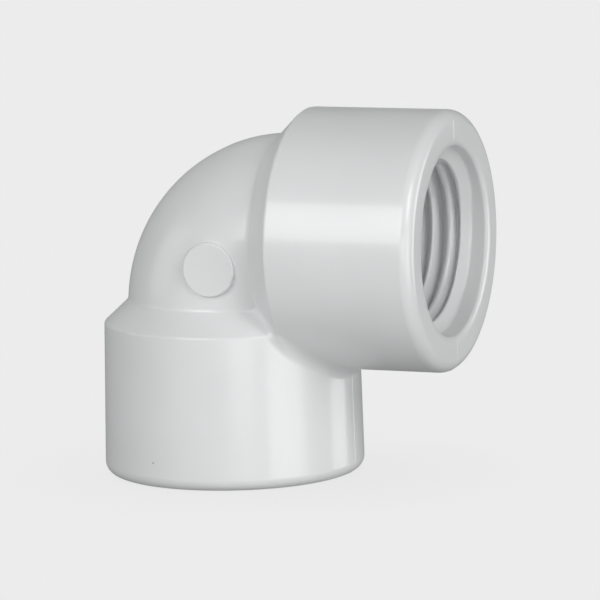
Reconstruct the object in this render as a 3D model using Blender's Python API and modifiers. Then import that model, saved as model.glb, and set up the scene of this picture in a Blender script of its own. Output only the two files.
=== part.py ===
"""Half-inch threaded PVC elbow: a round bend and two female pipe-thread sockets.

The part stands on the rim of its lower socket. +Z is up, +X points out of the front
mouth, and Y is across the bend. The origin is under the middle of the part, on the
plane of the lower mouth. Lengths are in metres.
"""

import math
from dataclasses import dataclass

import bmesh
import bpy

MM = 0.001

# Bend
BEND_RADIUS = 11.78 * MM        # outside of the bend
WATERWAY_RADIUS = 8.25 * MM     # bore of the bend and of the throats
ARC_RADIUS = 8.0 * MM           # centre line of the bend
PAD_RADIUS = 3.05 * MM          # round moulded pad on the near cheek
PAD_RISE = 0.34 * MM            # its flat face, above the bend
PAD_ROOT = 1.6 * MM             # how far the pad reaches into the wall behind its face

# Pipe thread: right-hand, tapered 1 in 16 on diameter
THREAD_PITCH = 25.4 / 14 * MM
THREAD_TAPER = 1 / 32           # fall of radius per unit of depth
PITCH_RADIUS = 9.885 * MM       # pitch radius at the plane of the mouth
HEIGHT_PER_PITCH = 0.69         # root to crest
ROOT_FLAT_PER_PITCH = 0.066
THREAD_FLANK = math.radians(30)
THREAD_START_DEPTH = 3.15 * MM  # middle of the groove where it starts, below the mouth
THREAD_END_MARGIN = 1.35 * MM   # middle of the groove where it ends, above the seat
LEAD_IN_MARGIN = 0.39 * MM      # mouth of the 45 degree lead-in chamfer, outside the roots
SEAT_DEPTH = 15.6 * MM          # mouth to the foot of the threaded bore

# Where the moulding is split into its three solids
SPLIT_GAP = 0.3 * MM

# Facets
SEGMENTS = 48                   # around every turned shape and every turn of thread
RIM_STEPS = 3
RING_STEPS = 36                 # around the section of the bend
CUT_DEPTH = 0.08 * MM           # how far the groove cutter starts inside the bore
CUTTER_SPAN = 90 * MM           # larger than the part, for the cutting blocks
WELD_DISTANCE = 0.01 * MM
SHARP_ANGLE = math.radians(30)


@dataclass(frozen=True)
class Socket:
    """Sizes of one socket, measured along its own axis from the crossing of the axes."""

    reach: float            # crossing to the face of the mouth
    mouth_radius: float     # outside, at the mouth
    shoulder: float         # crossing to the corner of the shoulder
    shoulder_radius: float  # outside, at the shoulder
    rim_round: float        # rounding of the outer rim
    thread_start: float     # angle at which the thread groove starts


FRONT = Socket(
    reach=27.4 * MM,
    mouth_radius=14.75 * MM,
    shoulder=10.1 * MM,
    shoulder_radius=14.75 * MM,
    rim_round=1.1 * MM,
    thread_start=math.radians(150),
)
LOWER = Socket(
    reach=27.1 * MM,
    mouth_radius=14.88 * MM,
    shoulder=9.7 * MM,
    shoulder_radius=14.56 * MM,
    rim_round=1.1 * MM,
    thread_start=math.radians(0),
)

# Worked out from the sizes above
CONE_FOOT = FRONT.shoulder - (FRONT.shoulder_radius - BEND_RADIUS)
THREAD_HEIGHT = HEIGHT_PER_PITCH * THREAD_PITCH
THREAD_RUN = SEAT_DEPTH - THREAD_END_MARGIN - THREAD_START_DEPTH
LEAD_IN_RADIUS = PITCH_RADIUS + THREAD_HEIGHT / 2 + LEAD_IN_MARGIN
PLAN_MIDDLE = (FRONT.reach - LOWER.mouth_radius) / 2
PAD_OFFSET = ARC_RADIUS * (1 - math.sqrt(0.5))
PAD_FACE = BEND_RADIUS + PAD_RISE

PVC_WHITE = (0.79, 0.80, 0.80, 1.0)


def clear_scene():
    """Remove every object that the scene starts with."""
    for thing in list(bpy.data.objects):
        bpy.data.objects.remove(thing, do_unlink=True)


def new_collection(name):
    """Make a collection in the scene."""
    collection = bpy.data.collections.new(name)
    bpy.context.scene.collection.children.link(collection)
    return collection


def pvc(name):
    """Make the glossy white PVC of one sub-part."""
    material = bpy.data.materials.new(name)
    material.use_nodes = True
    shader = material.node_tree.nodes["Principled BSDF"]
    shader.inputs["Base Color"].default_value = PVC_WHITE
    shader.inputs["Roughness"].default_value = 0.3
    shader.inputs["Metallic"].default_value = 0.0
    return material


def arc(centre, radius, start, end, steps):
    """Points along an arc of a profile, both ends included."""
    points = []
    for step in range(steps + 1):
        angle = start + (end - start) * step / steps
        points.append((centre[0] + radius * math.cos(angle), centre[1] + radius * math.sin(angle)))
    return points


def link_mesh(name, shape, collection):
    """Turn a bmesh into an object of the collection."""
    mesh = bpy.data.meshes.new(name)
    shape.to_mesh(mesh)
    shape.free()
    body = bpy.data.objects.new(name, mesh)
    collection.objects.link(body)
    return body


def turned(name, profile, closed, collection):
    """Turn a profile of (radius, height) points about the local Z axis."""
    shape = bmesh.new()
    points = [shape.verts.new((radius, 0.0, height)) for radius, height in profile]
    for first, second in zip(points, points[1:]):
        shape.edges.new((first, second))
    if closed:
        shape.edges.new((points[-1], points[0]))
    body = link_mesh(name, shape, collection)
    screw = body.modifiers.new("turn", "SCREW")
    screw.axis = "Z"
    screw.steps = SEGMENTS
    screw.render_steps = SEGMENTS
    screw.use_merge_vertices = True
    screw.merge_threshold = WELD_DISTANCE
    weld = body.modifiers.new("weld", "WELD")
    weld.merge_threshold = WELD_DISTANCE
    return body


def block(name, low, high, collection):
    """Make a block between two corners."""
    shape = bmesh.new()
    bmesh.ops.create_cube(shape, size=1.0)
    size = [top - bottom for bottom, top in zip(low, high)]
    middle = [(top + bottom) / 2 for bottom, top in zip(low, high)]
    bmesh.ops.scale(shape, vec=size, verts=shape.verts)
    bmesh.ops.translate(shape, vec=middle, verts=shape.verts)
    return link_mesh(name, shape, collection)


def disc(name, radius, depth, collection):
    """Make a round disc about its own Z axis."""
    shape = bmesh.new()
    bmesh.ops.create_cone(
        shape, cap_ends=True, segments=SEGMENTS, radius1=radius, radius2=radius, depth=depth
    )
    return link_mesh(name, shape, collection)


def place(body, crossing, location=(0.0, 0.0, 0.0), rotation=(0.0, 0.0, 0.0)):
    """Hang a body on the crossing of the port axes."""
    body.parent = crossing
    body.location = location
    body.rotation_euler = rotation


def shape_with(body, operation, tool):
    """Join a tool to a body, cut it away, or keep what they share."""
    modifier = body.modifiers.new(tool.name, "BOOLEAN")
    modifier.operation = operation
    modifier.object = tool
    modifier.solver = "EXACT"
    tool.hide_render = True
    tool.display_type = "WIRE"


def settle(body):
    """Apply a body's modifiers, shade its round faces smooth and give it its PVC."""
    graph = bpy.context.evaluated_depsgraph_get()
    mesh = bpy.data.meshes.new_from_object(body.evaluated_get(graph))
    body.modifiers.clear()
    body.data = mesh
    mesh.shade_smooth()
    mesh.set_sharp_from_angle(angle=SHARP_ANGLE)
    mesh.materials.clear()
    mesh.materials.append(pvc(f"{body.name}_pvc"))


def ring_section(radius):
    """Section of the bend, from the arc's own axis outwards, and whether it is closed."""
    centre = (ARC_RADIUS, 0.0)
    if radius < ARC_RADIUS:
        return arc(centre, radius, math.pi, -math.pi, RING_STEPS)[:-1], True
    edge = math.acos(-ARC_RADIUS / radius)
    points = arc(centre, radius, edge, -edge, RING_STEPS)
    points[0] = (0.0, points[0][1])
    points[-1] = (0.0, points[-1][1])
    return points, False


def build_bend(parts, cutters, crossing):
    """Quarter of a turned ring, hollow, with the round pad on its near cheek."""
    axis_place = (ARC_RADIUS, 0.0, -ARC_RADIUS)
    across = (math.radians(-90), 0.0, 0.0)
    bend = turned("bend", *ring_section(BEND_RADIUS), parts)
    place(bend, crossing, axis_place, across)

    pad = disc("bend_pad", PAD_RADIUS, PAD_ROOT, cutters)
    place(pad, crossing, (PAD_OFFSET, PAD_ROOT / 2 - PAD_FACE, -PAD_OFFSET), across)
    shape_with(bend, "UNION", pad)

    end = CONE_FOOT - SPLIT_GAP / 2
    low = (-CUTTER_SPAN, -CUTTER_SPAN, -end)
    high = (end, CUTTER_SPAN, CUTTER_SPAN)
    quarter = block("bend_quarter", low, high, cutters)
    place(quarter, crossing)
    shape_with(bend, "INTERSECT", quarter)

    waterway = turned("bend_waterway", *ring_section(WATERWAY_RADIUS), cutters)
    place(waterway, crossing, axis_place, across)
    shape_with(bend, "DIFFERENCE", waterway)
    return bend


def crest_radius(depth):
    """Radius of the thread's crests at a depth below the mouth."""
    return PITCH_RADIUS - THREAD_HEIGHT / 2 - depth * THREAD_TAPER


def socket_profile(size):
    """Closed outline of one socket, outer side first, from the mouth to the cone's foot."""
    rim_centre = (size.mouth_radius - size.rim_round, size.reach - size.rim_round)
    foot = CONE_FOOT + SPLIT_GAP / 2
    slope = (size.shoulder_radius - BEND_RADIUS) / (size.shoulder - CONE_FOOT)
    seat = size.reach - SEAT_DEPTH
    seat_radius = crest_radius(SEAT_DEPTH)
    seat_rise = abs(seat_radius - WATERWAY_RADIUS)
    # The chamfer closes 1 for 1 and the crests 1 for 32, which gives where they meet.
    lead_in = (LEAD_IN_RADIUS - crest_radius(0.0)) / (1 - THREAD_TAPER)
    outline = arc(rim_centre, size.rim_round, math.pi / 2, 0.0, RIM_STEPS)
    outline.append((size.shoulder_radius, size.shoulder))
    outline.append((BEND_RADIUS + slope * SPLIT_GAP / 2, foot))
    outline.append((WATERWAY_RADIUS, foot))
    outline.append((WATERWAY_RADIUS, seat - seat_rise))
    outline.append((seat_radius, seat))
    outline.append((crest_radius(lead_in), size.reach - lead_in))
    outline.append((LEAD_IN_RADIUS, size.reach))
    return outline


def groove_section(shape, size, turn):
    """Four corners of the groove cutter after so many turns, at the foot side first."""
    angle = size.thread_start - turn * math.tau
    depth = THREAD_START_DEPTH + turn * THREAD_PITCH
    height = THREAD_HEIGHT + CUT_DEPTH
    inner = crest_radius(depth) - CUT_DEPTH
    half_root = ROOT_FLAT_PER_PITCH * THREAD_PITCH / 2
    half_base = half_root + height * math.tan(THREAD_FLANK)
    corners = []
    for radius, rise in (
        (inner, -half_base),
        (inner + height, -half_root),
        (inner + height, half_root),
        (inner, half_base),
    ):
        across, along = radius * math.cos(angle), radius * math.sin(angle)
        corners.append(shape.verts.new((across, along, size.reach - depth + rise)))
    return corners


def thread_groove(name, size, collection):
    """Right-hand helical ridge that cuts the groove between the thread's crests."""
    shape = bmesh.new()
    steps = round(THREAD_RUN / THREAD_PITCH * SEGMENTS)
    sections = [groove_section(shape, size, step / SEGMENTS) for step in range(steps + 1)]
    for near, far in zip(sections, sections[1:]):
        for side in range(4):
            following = (side + 1) % 4
            shape.faces.new((near[side], far[side], far[following], near[following]))
    shape.faces.new(sections[0])
    shape.faces.new(reversed(sections[-1]))
    bmesh.ops.recalc_face_normals(shape, faces=shape.faces)
    return link_mesh(name, shape, collection)


def build_socket(name, size, turn, mitre_span, parts, cutters, crossing):
    """One socket along its own axis, threaded, and mitred against the other socket."""
    socket = turned(name, socket_profile(size), True, parts)
    place(socket, crossing, rotation=turn)

    groove = thread_groove(f"{name}_groove", size, cutters)
    place(groove, crossing, rotation=turn)
    shape_with(socket, "DIFFERENCE", groove)

    # The block's faces are tilted onto the plane midway between the two port axes.
    low = (-CUTTER_SPAN, -CUTTER_SPAN, mitre_span[0])
    high = (CUTTER_SPAN, CUTTER_SPAN, mitre_span[1])
    mitre = block(f"{name}_mitre", low, high, cutters)
    place(mitre, crossing, rotation=(0.0, math.radians(45), 0.0))
    shape_with(socket, "DIFFERENCE", mitre)
    return socket


def main():
    """Build the elbow: the bend first, then its two sockets."""
    clear_scene()
    parts = new_collection("pvc_elbow_fitting")
    cutters = new_collection("cutters")
    crossing = bpy.data.objects.new("crossing_of_axes", None)
    crossing.location = (-PLAN_MIDDLE, 0.0, LOWER.reach)
    parts.objects.link(crossing)

    front_turn = (0.0, math.radians(90), 0.0)
    lower_turn = (math.radians(180), 0.0, 0.0)
    front_waste = (-CUTTER_SPAN, SPLIT_GAP / 2)
    lower_waste = (-SPLIT_GAP / 2, CUTTER_SPAN)
    bodies = [
        build_bend(parts, cutters, crossing),
        build_socket("front_socket", FRONT, front_turn, front_waste, parts, cutters, crossing),
        build_socket("lower_socket", LOWER, lower_turn, lower_waste, parts, cutters, crossing),
    ]
    bpy.context.view_layer.update()
    for body in bodies:
        settle(body)


main()
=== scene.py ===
import logging
import math
from collections.abc import Callable, Sequence
from dataclasses import dataclass
from enum import Enum

import bmesh
import bpy
import numpy as np
from mathutils import Matrix, Vector


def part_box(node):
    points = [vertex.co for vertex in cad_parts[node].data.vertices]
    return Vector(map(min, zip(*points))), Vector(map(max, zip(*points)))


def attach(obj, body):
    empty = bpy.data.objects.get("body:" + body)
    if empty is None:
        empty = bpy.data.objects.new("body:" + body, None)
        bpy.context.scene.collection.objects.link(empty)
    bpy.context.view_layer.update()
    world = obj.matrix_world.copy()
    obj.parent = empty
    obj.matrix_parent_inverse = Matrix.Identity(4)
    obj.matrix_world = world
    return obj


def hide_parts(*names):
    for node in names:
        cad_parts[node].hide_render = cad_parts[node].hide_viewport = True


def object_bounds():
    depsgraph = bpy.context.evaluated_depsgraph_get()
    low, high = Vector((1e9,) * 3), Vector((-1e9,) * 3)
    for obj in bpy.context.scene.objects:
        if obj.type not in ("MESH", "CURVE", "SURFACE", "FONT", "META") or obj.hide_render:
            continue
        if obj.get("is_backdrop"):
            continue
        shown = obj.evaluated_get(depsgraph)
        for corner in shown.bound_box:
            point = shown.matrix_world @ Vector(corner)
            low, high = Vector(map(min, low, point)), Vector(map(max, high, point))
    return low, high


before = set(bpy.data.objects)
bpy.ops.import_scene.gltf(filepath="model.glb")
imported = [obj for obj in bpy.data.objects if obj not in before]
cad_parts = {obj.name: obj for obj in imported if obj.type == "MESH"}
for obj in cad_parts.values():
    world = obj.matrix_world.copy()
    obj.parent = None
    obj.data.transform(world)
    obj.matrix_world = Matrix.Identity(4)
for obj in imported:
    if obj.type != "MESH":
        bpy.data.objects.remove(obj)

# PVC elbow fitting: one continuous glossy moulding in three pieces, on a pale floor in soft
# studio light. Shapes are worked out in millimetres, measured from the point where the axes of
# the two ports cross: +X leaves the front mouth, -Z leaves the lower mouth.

LOG = logging.getLogger("pvc_elbow_fitting")
MM = 0.001
Triple = tuple[float, float, float]
CUT_TOUCH = 1e-4
ON_CUT = 20 * CUT_TOUCH
SPECK = (-3.97, -14.3, -24.1)


class Port(Enum):
    """The two ports of the elbow."""

    FRONT = "front"
    LOWER = "lower"


class Patch(Enum):
    """What a face of a finished piece belongs to."""

    SKIN = 0
    PAD = 1
    CUT = 2


def fillet_join(first: np.ndarray, second: np.ndarray, radius: float) -> np.ndarray:
    """Join two solids with a fillet in the corner between them.

    Args:
        first: distance outside the first solid.
        second: distance outside the second solid.
        radius: size of the fillet.

    Returns:
        Distance outside the joined solid.
    """
    near = np.maximum(radius, np.minimum(first, second))
    return near - np.hypot(np.maximum(radius - first, 0.0), np.maximum(radius - second, 0.0))


def round_overlap(first: np.ndarray, second: np.ndarray, radius: float) -> np.ndarray:
    """Keep what two solids share, with the edge between them rounded.

    Args:
        first: distance outside the first solid.
        second: distance outside the second solid.
        radius: size of the rounding.

    Returns:
        Distance outside the shared solid.
    """
    near = np.minimum(-radius, np.maximum(first, second))
    return near + np.hypot(np.maximum(first + radius, 0.0), np.maximum(second + radius, 0.0))


def soft_max(first: np.ndarray, second: np.ndarray, width: float) -> np.ndarray:
    """Take the larger of two values, with the change from one to the other smoothed.

    Args:
        first: first values.
        second: second values.
        width: how wide the smoothing is.

    Returns:
        The smoothed maximum.
    """
    return 0.5 * (first + second + np.sqrt((first - second) ** 2 + width * width))


def ease(share: np.ndarray) -> np.ndarray:
    """Ease from 0 to 1 as a share goes from 0 to 1."""
    held = np.clip(share, 0.0, 1.0)
    return held * held * (3.0 - 2.0 * held)


@dataclass(frozen=True)
class PipeThread:
    """Right-hand tapered pipe thread, moulded, with softened crests and roots."""

    pitch: float = 25.4 / 14
    taper: float = 1 / 32
    pitch_radius: float = 9.885
    height: float = 0.69 * 25.4 / 14
    root_flat: float = 0.066 * 25.4 / 14
    flank: float = math.radians(30)
    first_depth: float = 3.15
    end_margin: float = 1.35
    run_in: float = 9 / 360
    first_share: float = 0.70
    grow_turns: float = 0.9
    root_soft: float = 0.07
    crest_soft: float = 0.10

    @property
    def half_base(self) -> float:
        """Half the width of the groove where it opens."""
        return self.root_flat / 2 + self.height * math.tan(self.flank)

    def crest(self, depth: np.ndarray) -> np.ndarray:
        """Radius of the crests at a depth below the mouth."""
        return self.pitch_radius - self.height / 2 - depth * self.taper

    def groove(self, depth: np.ndarray, turn: np.ndarray, last_depth: float) -> np.ndarray:
        """Work out how deep the groove is cut below the crests.

        Args:
            depth: depth below the mouth.
            turn: share of a turn from where the groove starts.
            last_depth: depth at which the groove ends.

        Returns:
            Depth of the groove in radius.
        """
        share = turn % 1.0
        whole = np.round((depth - self.first_depth) / self.pitch - share)
        run = whole + share
        off = np.abs(depth - self.first_depth - run * self.pitch)
        grown = self.height * (1.0 - self.first_share) * (1.0 - ease(run / self.grow_turns))
        rise = (self.half_base - off) / math.tan(self.flank) - grown
        cut = soft_max(rise, np.zeros_like(rise), self.crest_soft)
        cut = -soft_max(-cut, grown - self.height, self.root_soft)
        last = (last_depth - self.first_depth) / self.pitch
        return cut * ease(run / self.run_in + 0.5) * ease((last - run) / self.run_in + 0.5)

    def offsets(self) -> np.ndarray:
        """Places across one pitch that the shape of the thread needs points at."""
        root, base = self.root_flat / 2, self.half_base
        side = [root * 0.5, root + 0.035, root + 0.10, (root + base) / 2]
        side += [base - 0.13, base - 0.05, base + 0.03]
        half = np.array(side)
        return np.concatenate([-half[::-1], half, [self.pitch / 2]])


@dataclass(frozen=True)
class Bend:
    """Round quarter bend, its waterway and the round pad on its near cheek."""

    radius: float = 11.78
    waterway: float = 8.25
    arc: float = 8.0
    foot: float = 7.13
    ring_end: float = 13.0
    foot_fillet: float = 0.14
    crotch_fillet: float = 1.25
    pad_radius: float = 3.05
    pad_face: float = 12.12
    pad_root: float = 10.6
    pad_foot: float = 11.0
    pad_round: float = 0.16

    def off_line(self, points: np.ndarray) -> np.ndarray:
        """Work out the distance from the centre line, which is straight, a quarter arc, straight.

        Args:
            points: rows of x, y, z.

        Returns:
            Distance of each point from the line.
        """
        x, y, z = points[..., 0], points[..., 1], points[..., 2]
        across = np.hypot(x - self.arc, z + self.arc) - self.arc
        on_arc = np.hypot(across, y)
        on_front = np.where(x > self.arc, np.hypot(y, z), np.inf)
        on_lower = np.where(z < -self.arc, np.hypot(y, x), np.inf)
        straight = np.minimum(on_front, on_lower)
        return np.where(np.isfinite(straight), straight, on_arc)


@dataclass(frozen=True)
class Socket:
    """One threaded socket, along its own axis from the crossing."""

    port: Port
    reach: float
    mouth_radius: float
    shoulder: float
    shoulder_radius: float
    groove_start: float
    rim_round: float = 1.45
    shoulder_round: float = 0.13
    lead_in_radius: float = 10.72
    lead_in_slope: float = 0.07
    step_radius: float = 10.50
    step_depth: float = 1.50
    step_run: float = 0.68
    step_start: float = 10.0
    step_rise: float = 70.0
    step_fall_start: float = 190.0
    step_fall: float = 150.0
    step_soft: float = 0.12
    thread_soft: float = 0.09
    throat_soft: float = 0.06
    edge_width: float = 0.95
    edge_depth: float = 0.36
    seat_depth: float = 15.6
    thread: PipeThread = PipeThread()
    bend: Bend = Bend()

    @property
    def along(self) -> np.ndarray:
        """Direction out of the mouth."""
        return np.array([1.0, 0.0, 0.0] if self.port is Port.FRONT else [0.0, 0.0, -1.0])

    @property
    def zero(self) -> np.ndarray:
        """Direction that angles round the axis are measured from."""
        return np.array([0.0, 0.0, 1.0] if self.port is Port.FRONT else [-1.0, 0.0, 0.0])

    @property
    def sense(self) -> int:
        """Whether the thread goes deeper as the angle grows, or as it falls."""
        return 1 if self.port is Port.FRONT else -1

    @property
    def last_depth(self) -> float:
        """Depth at which the groove ends."""
        return self.seat_depth - self.thread.end_margin

    def point(self, depth: np.ndarray, radius: np.ndarray, angle: np.ndarray) -> np.ndarray:
        """Place points by depth below the mouth, radius and angle.

        Args:
            depth: depth below the mouth.
            radius: distance from the axis.
            angle: angle round the axis, in radians.

        Returns:
            Rows of x, y, z.
        """
        depth, radius, angle = np.broadcast_arrays(depth, radius, angle)
        placed = (self.reach - depth)[..., None] * self.along
        placed = placed + (radius * np.cos(angle))[..., None] * self.zero
        placed[..., 1] += radius * np.sin(angle)
        return placed

    def cylinder(self, points: np.ndarray) -> tuple[np.ndarray, np.ndarray, np.ndarray]:
        """Find the depth, radius and angle of points.

        Args:
            points: rows of x, y, z.

        Returns:
            Depth below the mouth, radius, and angle in radians.
        """
        up = points @ self.zero
        depth = self.reach - points @ self.along
        return depth, np.hypot(up, points[..., 1]), np.arctan2(points[..., 1], up)

    def outside(self, points: np.ndarray) -> np.ndarray:
        """Work out the distance outside the socket's solid: cone, hub and rounded rim.

        Args:
            points: rows of x, y, z.

        Returns:
            Distance of each point.
        """
        depth, radius, _ = self.cylinder(points)
        height = self.reach - depth
        slope = (self.shoulder_radius - self.bend.radius) / (self.shoulder - self.bend.foot)
        cone = radius - self.bend.radius - slope * (height - self.bend.foot)
        cone = cone / math.hypot(1.0, slope)
        flare = (self.mouth_radius - self.shoulder_radius) / (self.reach - self.shoulder)
        hub = radius - self.mouth_radius + flare * depth
        body = round_overlap(cone, hub, self.shoulder_round)
        return round_overlap(body, -depth, self.rim_round)

    def bore(self, depth: np.ndarray, angle: np.ndarray) -> np.ndarray:
        """Work out the radius of the bore: lead-in wall, step, thread, seat and throat.

        Args:
            depth: depth below the mouth.
            angle: angle round the axis, in radians.

        Returns:
            Radius of the bore.
        """
        turn = self.sense * (angle - self.groove_start) / math.tau
        threaded = self.thread.crest(depth) + self.thread.groove(depth, turn, self.last_depth)
        seat = self.thread.crest(np.array(self.seat_depth)) - (depth - self.seat_depth)
        throat = soft_max(seat, np.full_like(seat, self.bend.waterway), self.throat_soft)
        deep = np.where(depth < self.seat_depth, threaded, throat)
        wall = self.lead_in_radius - self.lead_in_slope * depth
        past = (turn * 360.0 - self.step_start) % 360.0
        deeper = ease(past / self.step_rise) - ease((past - self.step_fall_start) / self.step_fall)
        step_depth = self.step_depth + self.step_run * deeper
        step = self.step_radius - (depth - step_depth) / math.tan(self.thread.flank)
        lead_in = -soft_max(-wall, -step, self.step_soft)
        return soft_max(deep, lead_in, self.thread_soft)

    def inside(self, points: np.ndarray) -> np.ndarray:
        """Work out the distance outside the bore.

        Args:
            points: rows of x, y, z.

        Returns:
            Distance of each point, less than nothing in the bore.
        """
        depth, radius, angle = self.cylinder(points)
        return radius - self.bore(depth, angle)


FRONT = Socket(Port.FRONT, 27.4, 14.75, 10.1, 14.75, math.radians(30))
LOWER = Socket(Port.LOWER, 27.1, 14.88, 9.7, 14.56, math.radians(180))


@dataclass(frozen=True)
class Moulding:
    """The whole elbow as one solid: the outer skin, the waterway and the threads."""

    front: Socket = FRONT
    lower: Socket = LOWER
    bend: Bend = Bend()
    outer_pivot: float = 16.5
    inner_pivot: float = 8.6
    column_step: float = 1.25
    fan_rows: int = 156
    parting_rise: float = 0.03
    parting_width: float = 0.085
    probe: float = 0.008
    outer_cast: float = 45.0
    inner_cast: float = 9.3
    inner_rows: int = 60
    thread_top: float = 1.1

    def outside(self, points: np.ndarray) -> np.ndarray:
        """Work out the distance outside the outer skin, with its fine parting line.

        Args:
            points: rows of x, y, z.

        Returns:
            Distance of each point.
        """
        sockets = fillet_join(
            self.front.outside(points), self.lower.outside(points), self.bend.crotch_fillet
        )
        ring = self.bend.off_line(points) - self.bend.radius
        past = np.maximum(points[..., 0], -points[..., 2]) - self.bend.ring_end
        ring = np.maximum(ring, past)
        body = fillet_join(sockets, ring, self.bend.foot_fillet)
        line = np.exp(-((points[..., 1] / self.parting_width) ** 2))
        return body + self.parting_rise * (1.0 - line)

    def inside(self, points: np.ndarray) -> np.ndarray:
        """Work out the distance outside the waterway and the two bores.

        Args:
            points: rows of x, y, z.

        Returns:
            Distance of each point, less than nothing in the water.
        """
        x, z = points[..., 0], points[..., 2]
        water = self.bend.off_line(points) - self.bend.waterway
        water = np.where((x + z > 0) & (x > self.bend.arc), self.front.inside(points), water)
        return np.where((x + z <= 0) & (z < -self.bend.arc), self.lower.inside(points), water)

    def solid(self, points: np.ndarray) -> np.ndarray:
        """Work out the distance outside the plastic.

        Args:
            points: rows of x, y, z.

        Returns:
            Distance of each point.
        """
        width, depth = self.front.edge_width, self.front.edge_depth
        return round_overlap(self.outside(points) * (width / depth), -self.inside(points), width)

    def slope(self, points: np.ndarray, field: Callable[[np.ndarray], np.ndarray]) -> np.ndarray:
        """Work out how a distance grows in each direction.

        Args:
            points: rows of x, y, z.
            field: the distance.

        Returns:
            The slope at each point.
        """
        slopes = np.empty_like(points)
        for axis in range(3):
            step = np.zeros(3)
            step[axis] = self.probe
            slopes[..., axis] = (field(points + step) - field(points - step)) / (2 * self.probe)
        return slopes

    def settle(self, points: np.ndarray, rounds: int = 4) -> np.ndarray:
        """Move points onto the skin of the plastic.

        Args:
            points: rows of x, y, z, close to the skin.
            rounds: how many times they are moved.

        Returns:
            The moved points.
        """
        for _ in range(rounds):
            slopes = self.slope(points, self.solid)
            size = np.maximum((slopes**2).sum(-1), 1e-6)
            points = points - slopes * (self.solid(points) / size)[..., None]
        return points

    def columns(self) -> np.ndarray:
        """Angles of the columns round a section, closer together at the parting line."""
        coarse = np.arange(0.0, 360.0, self.column_step)
        near = np.array([-0.72, -0.42, -0.2, 0.2, 0.42, 0.72])
        angles = np.concatenate([coarse, near % 360.0, near + 180.0])
        return np.radians(np.sort(angles))

    def cast(
        self,
        centre: np.ndarray,
        direction: np.ndarray,
        field: Callable[[np.ndarray], np.ndarray],
        farthest: float,
    ) -> np.ndarray:
        """Find where rays from inside a shape reach its skin.

        Args:
            centre: where the rays start.
            direction: their unit directions.
            field: distance outside the shape.
            farthest: a length that is beyond the skin.

        Returns:
            The points on the skin.
        """
        low = np.full(direction.shape[:-1], 0.05)
        high = np.full(direction.shape[:-1], farthest)
        for _ in range(34):
            middle = (low + high) / 2
            inside = field(centre + middle[..., None] * direction) < 0
            low = np.where(inside, middle, low)
            high = np.where(inside, high, middle)
        return centre + ((low + high) / 2)[..., None] * direction

    def fan(
        self, pivot: float, rows: int, field: Callable[[np.ndarray], np.ndarray], farthest: float
    ) -> np.ndarray:
        """Make rows of points on sections that swing round the inside of the bend.

        Args:
            pivot: distance of the hinge line from both axes.
            rows: number of sections.
            field: distance outside the shape.
            farthest: a length that is beyond the skin.

        Returns:
            Rows of points, from the front section to the lower one.
        """
        swing = np.radians(np.linspace(0.0, 90.0, rows))[:, None, None]
        spoke = np.concatenate([-np.sin(swing), np.zeros_like(swing), np.cos(swing)], axis=2)
        centre = np.array([pivot, 0.0, -pivot]) + pivot * spoke
        angle = self.columns()[None, :, None]
        direction = np.cos(angle) * spoke + np.sin(angle) * np.array([0.0, 1.0, 0.0])
        return self.cast(centre, direction, field, farthest)

    def lathe(self, socket: Socket, outline: Sequence[tuple[float, float]]) -> np.ndarray:
        """Turn an outline of depths and radii about a socket's axis.

        Args:
            socket: the socket.
            outline: pairs of depth and radius.

        Returns:
            Rows of points.
        """
        depth = np.array([pair[0] for pair in outline])[:, None]
        radius = np.array([pair[1] for pair in outline])[:, None]
        return socket.point(depth, radius, self.columns()[None, :])

    def mouth(self, socket: Socket) -> np.ndarray:
        """Rows from the lead-in wall over the rounded edge, face and rim to the hub's side.

        Args:
            socket: the socket.

        Returns:
            Rows of points on the skin.
        """
        lead, rim = socket.lead_in_radius, socket.rim_round
        width, depth = socket.edge_width, socket.edge_depth
        slope = socket.lead_in_slope
        outline = [(cut, lead - slope * cut) for cut in (1.02, 0.90, 0.79, 0.69, 0.60, 0.53)]
        for step in range(1, 16):
            turn = math.radians(90 - 6 * step)
            outline.append((
                depth * (1 - math.cos(turn)), lead + width * (1 - math.sin(turn))
            ))
        outline += [(0.0, lead + width + out) for out in (0.2, 0.45, 0.7)]
        for step in range(13):
            turn = math.radians(90 * step / 12)
            side = socket.mouth_radius - rim + rim * math.sin(turn)
            outline.append((rim - rim * math.cos(turn), side))
        return self.settle(self.lathe(socket, outline))

    def side(self, socket: Socket) -> np.ndarray:
        """Rows along the hub, from its rim towards the bend.

        Args:
            socket: the socket.

        Returns:
            Rows of points on the skin.
        """
        start = socket.rim_round + 0.25
        end = socket.reach - self.outer_pivot - 0.3
        depths = np.linspace(start, end, 22)
        return self.settle(self.lathe(socket, [(d, socket.mouth_radius) for d in depths]), 3)

    def throat(self, socket: Socket) -> np.ndarray:
        """Rows down the seat and the throat.

        Args:
            socket: the socket.

        Returns:
            Rows of points on the wall of the bore.
        """
        seat = socket.seat_depth
        end = socket.reach - self.inner_pivot - 0.25
        depths = [seat + step for step in (0.10, 0.22, 0.34, 0.44, 0.50, 0.56, 0.64, 0.78)]
        depths += list(np.linspace(seat + 1.05, end, 7))
        depth = np.array(depths)[:, None] + np.zeros_like(self.columns())[None, :]
        angle = self.columns()[None, :] + np.zeros_like(depth)
        return socket.point(depth, socket.bore(depth, angle), angle)


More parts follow.
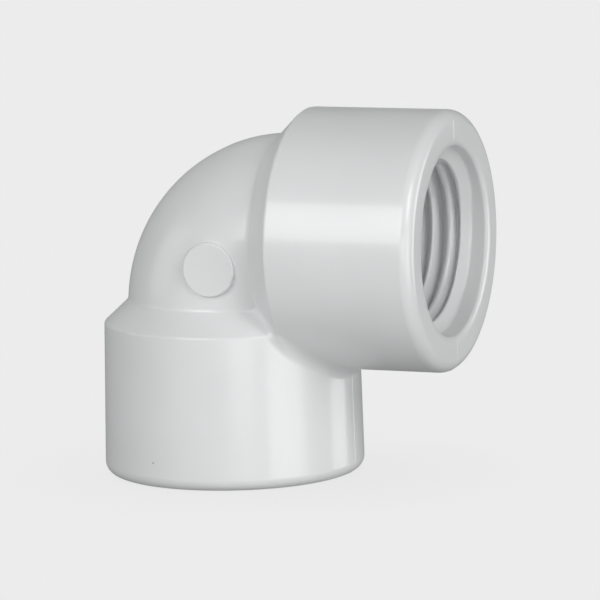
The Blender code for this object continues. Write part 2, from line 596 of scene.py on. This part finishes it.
@dataclass
class Mesher:
    """Collects rows of points and the faces between them into one closed skin."""

    points: list[np.ndarray]
    faces: list[np.ndarray]
    count: int = 0

    def add(self, rows: np.ndarray) -> np.ndarray:
        """Store rows of points.

        Args:
            rows: array of rows, columns, and x, y, z.

        Returns:
            The number of each point.
        """
        numbers = np.arange(rows.shape[0] * rows.shape[1]).reshape(rows.shape[:2]) + self.count
        self.points.append(rows.reshape(-1, 3))
        self.count += numbers.size
        return numbers

    def weave(self, near: np.ndarray, far: np.ndarray, flip: bool) -> None:
        """Store the quads between matching rows of corners, leaving out corners that coincide.

        Args:
            near: numbers of the corners, one column more than there are quads across.
            far: numbers of the facing corners.
            flip: whether the quads face the other way.
        """
        quads = np.stack([near[:, :-1], near[:, 1:], far[:, 1:], far[:, :-1]], axis=-1)
        quads = quads.reshape(-1, 4)
        self.faces.append(quads[:, ::-1] if flip else quads)

    def mesh(self, name: str) -> bpy.types.Mesh:
        """Make the mesh of everything stored.

        Args:
            name: name of the mesh.

        Returns:
            The mesh, in millimetres.
        """
        quads = np.concatenate(self.faces)
        used, numbers = np.unique(quads, return_inverse=True)
        corners = []
        for quad in numbers.reshape(quads.shape).tolist():
            face = [number for spot, number in enumerate(quad) if number != quad[spot - 1]]
            if len(set(face)) > 2 and len(set(face)) == len(face):
                corners.append(face)
        made = bpy.data.meshes.new(name)
        made.from_pydata(np.concatenate(self.points)[used].tolist(), [], corners)
        made.update()
        return made


def closed(numbers: np.ndarray) -> np.ndarray:
    """Repeat the first column after the last."""
    return np.concatenate([numbers, numbers[:, :1]], axis=1)


def thread_zone(
    moulding: Moulding, mesher: Mesher, socket: Socket
) -> tuple[np.ndarray, np.ndarray]:
    """Add the threaded wall, in rows that follow the thread.

    Args:
        moulding: the elbow.
        mesher: where the points and faces are stored.
        socket: the socket.

    Returns:
        Numbers of the circle at the top of the wall, and of the one at its foot.
    """
    thread = socket.thread
    angles = moulding.columns()
    offsets = np.sort(thread.offsets())
    per_turn = len(offsets)
    top, foot = moulding.thread_top, socket.seat_depth - 0.02
    lowest = math.floor((top - thread.first_depth) / thread.pitch) - 2
    highest = math.ceil((foot - thread.first_depth) / thread.pitch) + 2
    whole = np.repeat(np.arange(lowest, highest + 1), per_turn)
    start = thread.first_depth + whole * thread.pitch + np.tile(offsets, highest - lowest + 1)
    turn = socket.sense * (angles - socket.groove_start) / math.tau
    depth = start[:, None] + turn[None, :] * thread.pitch
    held = np.clip(depth, top, foot)
    angle = angles[None, :] + np.zeros_like(held)
    numbers = mesher.add(socket.point(held, socket.bore(held, angle), angle))
    numbers = np.where(depth <= top, numbers[0][None, :], numbers)
    numbers = np.where(depth >= foot, numbers[-1][None, :], numbers)
    # Once round, a row of the thread meets the row one pitch away.
    rows = np.arange(len(start)) + socket.sense * per_turn
    wrapped = numbers[np.clip(rows, 0, len(start) - 1), 0]
    joined = np.concatenate([numbers, wrapped[:, None]], axis=1)
    mesher.weave(joined[:-1], joined[1:], flip=socket.port is Port.FRONT)
    return numbers[:1], numbers[-1:]


def whole_skin(moulding: Moulding) -> bpy.types.Mesh:
    """Mesh the elbow as one closed skin: round the outside and back through the bores.

    Args:
        moulding: the elbow.

    Returns:
        The mesh, in millimetres from the crossing of the axes.
    """
    mesher = Mesher([], [])
    outer = moulding.fan(
        moulding.outer_pivot, moulding.fan_rows + 1, moulding.outside, moulding.outer_cast
    )
    inner = moulding.fan(
        moulding.inner_pivot, moulding.inner_rows + 1, moulding.inside, moulding.inner_cast
    )
    tops, feet = [], []
    strips = []
    for socket in (moulding.front, moulding.lower):
        top, foot = thread_zone(moulding, mesher, socket)
        tops.append(top)
        feet.append(foot)
        shell = np.concatenate([moulding.mouth(socket), moulding.side(socket)])
        strips.append((mesher.add(shell), mesher.add(moulding.throat(socket))))
    outside, inside = mesher.add(outer), mesher.add(inner)
    loop = np.concatenate([
        tops[0], strips[0][0], outside, strips[1][0][::-1], tops[1],
    ])
    mesher.weave(closed(loop)[:-1], closed(loop)[1:], flip=False)
    water = np.concatenate([
        feet[0], strips[0][1], inside, strips[1][1][::-1], feet[1],
    ])
    mesher.weave(closed(water)[:-1], closed(water)[1:], flip=True)
    return mesher.mesh("elbow_skin")


@dataclass(frozen=True)
class Plane:
    """A flat cut through the elbow, facing away from what is kept."""

    point: Triple
    normal: Triple

    def off(self, points: np.ndarray) -> np.ndarray:
        """Distance of points from the plane."""
        return (points - np.array(self.point)) @ np.array(self.normal)


def cut_out(whole: bpy.types.Mesh, name: str, cuts: Sequence[Plane]) -> bpy.types.Mesh:
    """Cut one closed piece out of the whole skin with two planes that cross in the wall.

    Args:
        whole: the closed skin.
        name: name of the new mesh.
        cuts: the two planes.

    Returns:
        The closed mesh of the piece.
    """
    shape = bmesh.new()
    shape.from_mesh(whole)
    for cut in cuts:
        parts = shape.verts[:] + shape.edges[:] + shape.faces[:]
        bmesh.ops.bisect_plane(
            shape, geom=parts, dist=CUT_TOUCH, plane_co=cut.point, plane_no=cut.normal,
            clear_outer=True,
        )
    rims = [edge for edge in shape.edges if edge.is_boundary]
    corners = {vert for edge in rims for vert in edge.verts}
    places = {vert: np.array(vert.co) for vert in corners}
    corners = [
        vert for vert in corners if all(abs(cut.off(places[vert])) < ON_CUT for cut in cuts)
    ]
    corners.sort(key=lambda vert: vert.co.y)
    bridges = [shape.edges.new((corners[0], corners[1])), shape.edges.new((corners[2], corners[3]))]
    for cut in cuts:
        edges = [
            edge for edge in rims
            if all(abs(cut.off(places[vert])) < ON_CUT for vert in edge.verts)
        ]
        made = bmesh.ops.triangle_fill(
            shape, use_beauty=True, use_dissolve=False, edges=edges + bridges, normal=cut.normal
        )
        for face in made["geom"]:
            if isinstance(face, bmesh.types.BMFace):
                face.normal_update()
                if face.normal.dot(Vector(cut.normal)) < 0:
                    face.normal_flip()
    made = bpy.data.meshes.new(name)
    shape.to_mesh(made)
    shape.free()
    return made


def put_in_scene(name: str, mesh: bpy.types.Mesh) -> bpy.types.Object:
    """Make an object of a mesh and link it to the scene."""
    made = bpy.data.objects.new(name, mesh)
    bpy.context.scene.collection.objects.link(made)
    return made


@dataclass
class ElbowBody:
    """The moulded elbow: bend, front socket and lower socket, with one skin over all three."""

    moulding: Moulding
    crossing: Vector
    columns: int = 96

    def pad_place(self) -> tuple[float, float]:
        """Place of the pad's middle along X and Z."""
        offset = self.moulding.bend.arc * (1 - math.sqrt(0.5))
        return offset, -offset

    def pad(self) -> bpy.types.Object:
        """Turn the round pad about its own axis, with a rounded edge.

        Returns:
            The pad as a closed object, in millimetres.
        """
        bend = self.moulding.bend
        middle_x, middle_z = self.pad_place()
        inner = bend.pad_radius - bend.pad_round
        outline = [(bend.pad_radius, bend.pad_root)]
        for step in range(7):
            turn = math.radians(90 * step / 6)
            out = bend.pad_face - bend.pad_round * (1 - math.sin(turn))
            outline.append((inner + bend.pad_round * math.cos(turn), out))
        shape = bmesh.new()
        rings = []
        for radius, out in outline:
            ring = []
            for column in range(self.columns):
                turn = math.tau * column / self.columns
                side, rise = radius * math.cos(turn), radius * math.sin(turn)
                ring.append(shape.verts.new((middle_x + side, -out, middle_z + rise)))
            rings.append(ring)
        for near, far in zip(rings, rings[1:]):
            for column in range(self.columns):
                following = (column + 1) % self.columns
                shape.faces.new((near[column], near[following], far[following], far[column]))
        shape.faces.new(rings[0])
        shape.faces.new(rings[-1])
        bmesh.ops.recalc_face_normals(shape, faces=shape.faces)
        mesh = bpy.data.meshes.new("pad")
        shape.to_mesh(mesh)
        shape.free()
        return put_in_scene("pad", mesh)

    def with_pad(self, mesh: bpy.types.Mesh) -> bpy.types.Mesh:
        """Join the pad to the bend.

        Args:
            mesh: the bend.

        Returns:
            The bend with its pad.
        """
        bend, pad = put_in_scene("plain_bend", mesh), self.pad()
        join = bend.modifiers.new("join", "BOOLEAN")
        join.operation = "UNION"
        join.solver = "EXACT"
        join.object = pad
        graph = bpy.context.evaluated_depsgraph_get()
        joined = bpy.data.meshes.new_from_object(bend.evaluated_get(graph))
        for spare in (bend, pad):
            bpy.data.objects.remove(spare, do_unlink=True)
        return joined

    def pad_normals(self, points: np.ndarray) -> np.ndarray:
        """Directions that the pad's skin faces.

        Args:
            points: rows of x, y, z on the pad.

        Returns:
            A unit direction for each point.
        """
        bend = self.moulding.bend
        middle_x, middle_z = self.pad_place()
        side = np.stack([points[:, 0] - middle_x, points[:, 2] - middle_z], axis=1)
        reach = np.maximum(np.linalg.norm(side, axis=1), 1e-9)
        out = np.maximum(reach - bend.pad_radius + bend.pad_round, 0.0)
        rise = np.maximum(-points[:, 1] - bend.pad_face + bend.pad_round, 0.0)
        rise = np.where(out + rise > 0, rise, 1.0)
        facing = np.stack([side[:, 0] / reach * out, -rise, side[:, 1] / reach * out], axis=1)
        return facing / np.linalg.norm(facing, axis=1, keepdims=True)

    def patch(self, corners: np.ndarray, cuts: Sequence[Plane]) -> Patch:
        """Tell what a face belongs to from where its corners are.

        Args:
            corners: rows of x, y, z.
            cuts: the planes the piece was cut out with.

        Returns:
            The patch.
        """
        if any(np.abs(cut.off(corners)).max() < ON_CUT for cut in cuts):
            return Patch.CUT
        bend = self.moulding.bend
        middle_x, middle_z = self.pad_place()
        away = np.hypot(corners[:, 0] - middle_x, corners[:, 2] - middle_z).max()
        if away < bend.pad_radius + 0.01 and corners[:, 1].max() < -bend.pad_foot:
            return Patch.PAD
        return Patch.SKIN

    def finish_mesh(self, mesh: bpy.types.Mesh, cuts: Sequence[Plane]) -> None:
        """Give a piece the true directions of the skin, so that no seam shows, and real size.

        Args:
            mesh: the piece, in millimetres from the crossing.
            cuts: the planes it was cut out with.
        """
        points = np.empty(len(mesh.vertices) * 3)
        mesh.vertices.foreach_get("co", points)
        points = points.reshape(-1, 3)
        skin = -self.moulding.slope(points, self.moulding.solid)
        skin = -skin / np.maximum(np.linalg.norm(skin, axis=1, keepdims=True), 1e-9)
        pads = self.pad_normals(points)
        normals = []
        for face in mesh.polygons:
            numbers = list(face.vertices)
            patch = self.patch(points[numbers], cuts)
            if patch is Patch.CUT:
                normals += [tuple(face.normal)] * len(numbers)
            else:
                source = pads if patch is Patch.PAD else skin
                normals += source[numbers].tolist()
        mesh.transform(Matrix.Translation(self.crossing) @ Matrix.Scale(MM, 4))
        mesh.shade_smooth()
        mesh.normals_split_custom_set(normals)

    def build(self) -> dict[str, bpy.types.Object]:
        """Mesh the elbow and cut it into its three pieces.

        Returns:
            The pieces by the name of the node each stands for.
        """
        foot = self.moulding.bend.foot
        half = math.sqrt(0.5)
        front_side = Plane((foot, 0.0, 0.0), (1.0, 0.0, 0.0))
        front_back = Plane((foot, 0.0, 0.0), (-1.0, 0.0, 0.0))
        lower_side = Plane((0.0, 0.0, -foot), (0.0, 0.0, -1.0))
        lower_back = Plane((0.0, 0.0, -foot), (0.0, 0.0, 1.0))
        mitre_down = Plane((0.0, 0.0, 0.0), (-half, 0.0, -half))
        mitre_up = Plane((0.0, 0.0, 0.0), (half, 0.0, half))
        plan = {
            "bend": (front_side, lower_side),
            "front_socket": (mitre_down, front_back),
            "lower_socket": (mitre_up, lower_back),
        }
        whole = whole_skin(self.moulding)
        pieces = {}
        for node, cuts in plan.items():
            mesh = cut_out(whole, f"{node}_skin", cuts)
            if node == "bend":
                mesh = self.with_pad(mesh)
            self.finish_mesh(mesh, cuts)
            pieces[node] = put_in_scene(f"{node}_skin", mesh)
            LOG.info("%s: %d faces", node, len(mesh.polygons))
        bpy.data.meshes.remove(whole)
        return pieces


@dataclass(frozen=True)
class Channel:
    """One output of a node, with arithmetic on its values."""

    sheet: "NodeSheet"
    socket: bpy.types.NodeSocket

    def maths(self, operation: str, *others: "Channel | float") -> "Channel":
        """Apply one Math node to this value and others."""
        inputs = dict(enumerate((self, *others)))
        return self.sheet.node("ShaderNodeMath", {"operation": operation}, inputs)

    def __add__(self, other: "Channel | float") -> "Channel":
        """Add."""
        return self.maths("ADD", other)

    __radd__ = __add__

    def __mul__(self, other: "Channel | float") -> "Channel":
        """Multiply."""
        return self.maths("MULTIPLY", other)

    __rmul__ = __mul__

    def __sub__(self, other: "Channel | float") -> "Channel":
        """Subtract."""
        return self.maths("SUBTRACT", other)

    def __rsub__(self, other: float) -> "Channel":
        """Subtract this value from a number."""
        return (self * -1.0) + other

    def above(self, low: float, high: float) -> "Channel":
        """Rise from 0 at one value to 1 at another, eased."""
        settings = {"interpolation_type": "SMOOTHSTEP"}
        inputs = {"Value": self, "From Min": low, "From Max": high}
        return self.sheet.node("ShaderNodeMapRange", settings, inputs)

    def scaled(self, amounts: Triple) -> "Channel":
        """Scale a vector along each axis."""
        return self.sheet.node(
            "ShaderNodeVectorMath", {"operation": "MULTIPLY"}, {0: self, 1: amounts}
        )


class NodeSheet:
    """The node tree of one material or world."""

    def __init__(self, tree: bpy.types.NodeTree) -> None:
        """Start with an empty tree."""
        self.tree = tree
        tree.nodes.clear()

    def node(
        self,
        kind: str,
        settings: dict[str, object],
        inputs: "dict[str | int, Channel | float | Sequence[float]]",
        output: "str | int" = 0,
    ) -> Channel:
        """Add a node.

        Args:
            kind: type of the node.
            settings: properties of the node.
            inputs: values or channels of its sockets.
            output: the output that is used.

        Returns:
            The output.
        """
        made = self.tree.nodes.new(kind)
        for name, value in settings.items():
            setattr(made, name, value)
        for name, value in inputs.items():
            if isinstance(value, Channel):
                self.tree.links.new(value.socket, made.inputs[name])
            else:
                made.inputs[name].default_value = value
        socket = made.outputs[output] if len(made.outputs) else None
        return Channel(self, socket)

    def noise(self, where: Channel, scale: float, detail: float = 2.0) -> Channel:
        """Noise between 0 and 1 at a place, with so many features to a millimetre."""
        inputs = {"Vector": where, "Scale": scale, "Detail": detail, "Roughness": 0.5}
        return self.node("ShaderNodeTexNoise", {"noise_dimensions": "3D"}, inputs)

    def blend(
        self,
        share: Channel,
        first: "Channel | Sequence[float]",
        second: "Channel | Sequence[float]",
    ) -> Channel:
        """Mix two colours."""
        return self.node("ShaderNodeMix", {"data_type": "RGBA"}, {0: share, 6: first, 7: second}, 2)


@dataclass(frozen=True)
class GlossyPvc:
    """Glossy white rigid PVC: a clear gloss over a softer body, and one dark speck.

    Noise scales are features to a millimetre, and heights are in millimetres.
    """

    grain: Triple
    speck_at: Triple
    light: tuple[float, float, float, float] = (0.800, 0.812, 0.815, 1.0)
    shade: tuple[float, float, float, float] = (0.775, 0.787, 0.790, 1.0)
    speck: tuple[float, float, float, float] = (0.35, 0.33, 0.30, 1.0)
    roughness: float = 0.30
    gloss: float = 0.35
    gloss_roughness: float = 0.10
    refraction: float = 1.53
    cloud_scale: float = 0.09
    drawn_scale: float = 1.4
    peel_scale: float = 1.1
    cloud_height: float = 0.010
    drawn_height: float = 0.0003
    peel_height: float = 0.0004
    speck_radius: float = 0.07
    speck_edge: float = 0.16

    def material(self, name: str) -> bpy.types.Material:
        """Make the material.

        Args:
            name: its name.

        Returns:
            The material.
        """
        made = bpy.data.materials.new(name)
        made.use_nodes = True
        sheet = NodeSheet(made.node_tree)
        place = sheet.node("ShaderNodeTexCoord", {}, {}, "Object").scaled((1 / MM,) * 3)
        cloud = sheet.noise(place, self.cloud_scale)
        drawn = sheet.noise(place.scaled(self.grain), self.drawn_scale)
        peel = sheet.noise(place, self.peel_scale)
        height = cloud * self.cloud_height + drawn * self.drawn_height + peel * self.peel_height
        bump = sheet.node("ShaderNodeBump", {}, {"Strength": 1.0, "Distance": MM, "Height": height})
        rough = self.roughness + (cloud - 0.5) * 0.04 + (drawn - 0.5) * 0.02
        colour = sheet.blend(cloud.above(0.3, 0.7), self.shade, self.light)
        away = sheet.node(
            "ShaderNodeVectorMath", {"operation": "DISTANCE"}, {0: place, 1: self.speck_at}, "Value"
        )
        colour = sheet.blend(away.above(self.speck_radius, self.speck_edge), self.speck, colour)
        shader = sheet.node(
            "ShaderNodeBsdfPrincipled",
            {},
            {
                "Base Color": colour,
                "Roughness": rough,
                "IOR": self.refraction,
                "Coat Weight": self.gloss,
                "Coat Roughness": self.gloss_roughness,
                "Normal": bump,
            },
        )
        sheet.node("ShaderNodeOutputMaterial", {}, {"Surface": shader})
        return made


@dataclass(frozen=True)
class SoftLight:
    """One soft studio light, aimed at the elbow: degrees, metres and watts.

    A light that isn't mirrored adds no highlight to the gloss.
    """

    name: str
    azimuth: float
    elevation: float
    distance: float
    width: float
    height: float
    power: float
    mirrored: bool = True

    def build(self, aim: Vector) -> bpy.types.Object:
        """Put the light in the scene.

        Args:
            aim: what it is aimed at.

        Returns:
            The light.
        """
        light = bpy.data.lights.new(self.name, "AREA")
        light.shape = "RECTANGLE"
        light.size, light.size_y = self.width, self.height
        light.energy = self.power
        made = bpy.data.objects.new(self.name, light)
        across, up = math.radians(self.azimuth), math.radians(self.elevation)
        away = Vector((
            math.sin(across) * math.cos(up), -math.cos(across) * math.cos(up), math.sin(up)
        ))
        made.location = aim + away * self.distance
        made.rotation_euler = away.to_track_quat("Z", "Y").to_euler()
        made.visible_camera = False
        made.visible_glossy = self.mirrored
        bpy.context.scene.collection.objects.link(made)
        return made


@dataclass(frozen=True)
class Studio:
    """Pale floor and surround, the world's dim light, and the soft lights."""

    pale: float = 0.8388
    painted_contact_shadow: float = 0.78
    contact_reach: float = 0.02
    ambient: float = 0.21
    surround: float = 1.5
    lights: tuple[SoftLight, ...] = (
        SoftLight("key_light", -12.0, 20.0, 0.9, 0.5, 0.5, 3.2),
        SoftLight("front_light", 30.0, 0.0, 0.9, 0.35, 0.25, 0.8),
        SoftLight("right_light", 60.0, 30.0, 0.9, 0.4, 0.4, 2.2),
        SoftLight("side_panel", 70.0, -8.0, 0.9, 0.55, 0.45, 1.8),
        SoftLight("back_light", 130.0, 0.0, 0.9, 0.35, 0.35, 1.2),
        SoftLight("left_light", -70.0, 10.0, 0.9, 0.4, 0.4, 0.5),
        SoftLight("floor_bounce", 20.0, -50.0, 0.9, 0.8, 0.8, 0.4),
        SoftLight("rear_fill", 202.0, 25.0, 0.9, 0.6, 0.6, 3.0, False),
        SoftLight("rear_side_fill", 235.0, 10.0, 0.9, 0.5, 0.5, 1.5, False),
    )

    def paper(self) -> bpy.types.Material:
        """Even pale glowing paper with a painted contact shadow where things stand on it."""
        made = bpy.data.materials.new("pale_paper_painted_shadow")
        made.use_nodes = True
        sheet = NodeSheet(made.node_tree)
        # Painted shadow: an occlusion mask darkens the glowing floor's colour near the elbow, since
        # the floor takes no cast shadow.
        inputs = {"Distance": self.contact_reach}
        open_sky = sheet.node("ShaderNodeAmbientOcclusion", {"samples": 8}, inputs, "AO")
        near, clear = (self.painted_contact_shadow,) * 3 + (1.0,), (self.pale,) * 3 + (1.0,)
        shade = sheet.blend(open_sky, near, clear)
        glow = sheet.node("ShaderNodeEmission", {}, {"Color": shade, "Strength": 1.0})
        sheet.node("ShaderNodeOutputMaterial", {}, {"Surface": glow})
        return made

    def surface(self, name: str, shape: bmesh.types.BMesh) -> bpy.types.Object:
        """Put one surface of the surround in the scene, seen by the camera alone."""
        mesh = bpy.data.meshes.new(name)
        shape.to_mesh(mesh)
        shape.free()
        mesh.materials.append(self.paper())
        made = put_in_scene(name, mesh)
        made.visible_diffuse = made.visible_glossy = made.visible_transmission = False
        made.visible_shadow = False
        made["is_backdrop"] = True
        return made

    def build(self, aim: Vector, floor_height: float) -> None:
        """Build the floor, the surround, the world and the lights.

        Args:
            aim: middle of the elbow.
            floor_height: height of the floor.
        """
        floor = bmesh.new()
        bmesh.ops.create_circle(floor, cap_ends=True, segments=96, radius=self.surround)
        bmesh.ops.translate(floor, vec=(0.0, 0.0, floor_height), verts=floor.verts)
        self.surface("floor", floor)
        dome = bmesh.new()
        bmesh.ops.create_uvsphere(dome, u_segments=48, v_segments=24, radius=self.surround * 1.02)
        bmesh.ops.reverse_faces(dome, faces=dome.faces)
        self.surface("surround", dome)
        world = bpy.data.worlds.new("studio")
        world.use_nodes = True
        sheet = NodeSheet(world.node_tree)
        inputs = {"Color": (1.0, 1.0, 1.0, 1.0), "Strength": self.ambient}
        glow = sheet.node("ShaderNodeBackground", {}, inputs)
        sheet.node("ShaderNodeOutputWorld", {}, {"Surface": glow})
        bpy.context.scene.world = world
        for light in self.lights:
            light.build(aim)


@dataclass(frozen=True)
class Viewpoint:
    """Where the camera stands, from the crossing of the axes, in degrees and millimetres."""

    azimuth: float = 22.1
    elevation: float = 8.6
    roll: float = -1.3
    distance: float = 513.0
    shift_right: float = 8.0
    shift_down: float = 7.5
    lens: float = 270.5

    def build(self, crossing: Vector) -> bpy.types.Object:
        """Put the camera in the scene.

        Args:
            crossing: where the axes of the ports cross.

        Returns:
            The camera.
        """
        across, up = math.radians(self.azimuth), math.radians(self.elevation)
        back = Vector((
            math.sin(across) * math.cos(up), -math.cos(across) * math.cos(up), math.sin(up)
        ))
        level = Vector((math.cos(across), math.sin(across), 0.0))
        upright = back.cross(level)
        tilt = math.radians(self.roll)
        right = level * math.cos(tilt) + upright * math.sin(tilt)
        top = back.cross(right)
        offset = back * self.distance + right * self.shift_right - top * self.shift_down
        camera = bpy.data.cameras.new("camera")
        camera.lens = self.lens
        camera.sensor_width = 36.0
        camera.clip_start = 0.02
        camera.clip_end = 20.0
        made = bpy.data.objects.new("camera", camera)
        turn = Matrix((right, top, back)).transposed()
        made.matrix_world = Matrix.Translation(crossing + offset * MM) @ turn.to_4x4()
        bpy.context.scene.collection.objects.link(made)
        bpy.context.scene.camera = made
        return made


def main() -> None:
    """Build the elbow piece by piece, then the floor, light and camera."""
    cad_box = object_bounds()
    low_front, high_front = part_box("front_socket")
    low_lower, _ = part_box("lower_socket")
    crossing = Vector((high_front[0] - FRONT.reach * MM, 0.0, low_lower[2] + LOWER.reach * MM))
    pieces = ElbowBody(Moulding(), crossing).build()
    grains = {
        "bend": (1.0, 1.0, 1.0),
        "front_socket": (0.04, 1.0, 1.0),
        "lower_socket": (1.0, 1.0, 0.04),
    }
    speck = crossing / MM + Vector(SPECK)
    for node, piece in pieces.items():
        piece.data.materials.clear()
        finish = GlossyPvc(grains[node], tuple(speck))
        piece.data.materials.append(finish.material(f"glossy_pvc_{node}"))
        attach(piece, "root")
        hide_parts(node)
        LOG.info("placed %s", piece.name)
    low, high = cad_box
    middle = (Vector(low) + Vector(high)) / 2
    Studio().build(middle, low[2])
    Viewpoint().build(crossing)
    bpy.context.scene.view_settings.view_transform = "Standard"
    LOG.info("floor, lights and camera placed")


if __name__ == "__main__":
    logging.basicConfig(level=logging.INFO, format="%(name)s: %(message)s")
    main()
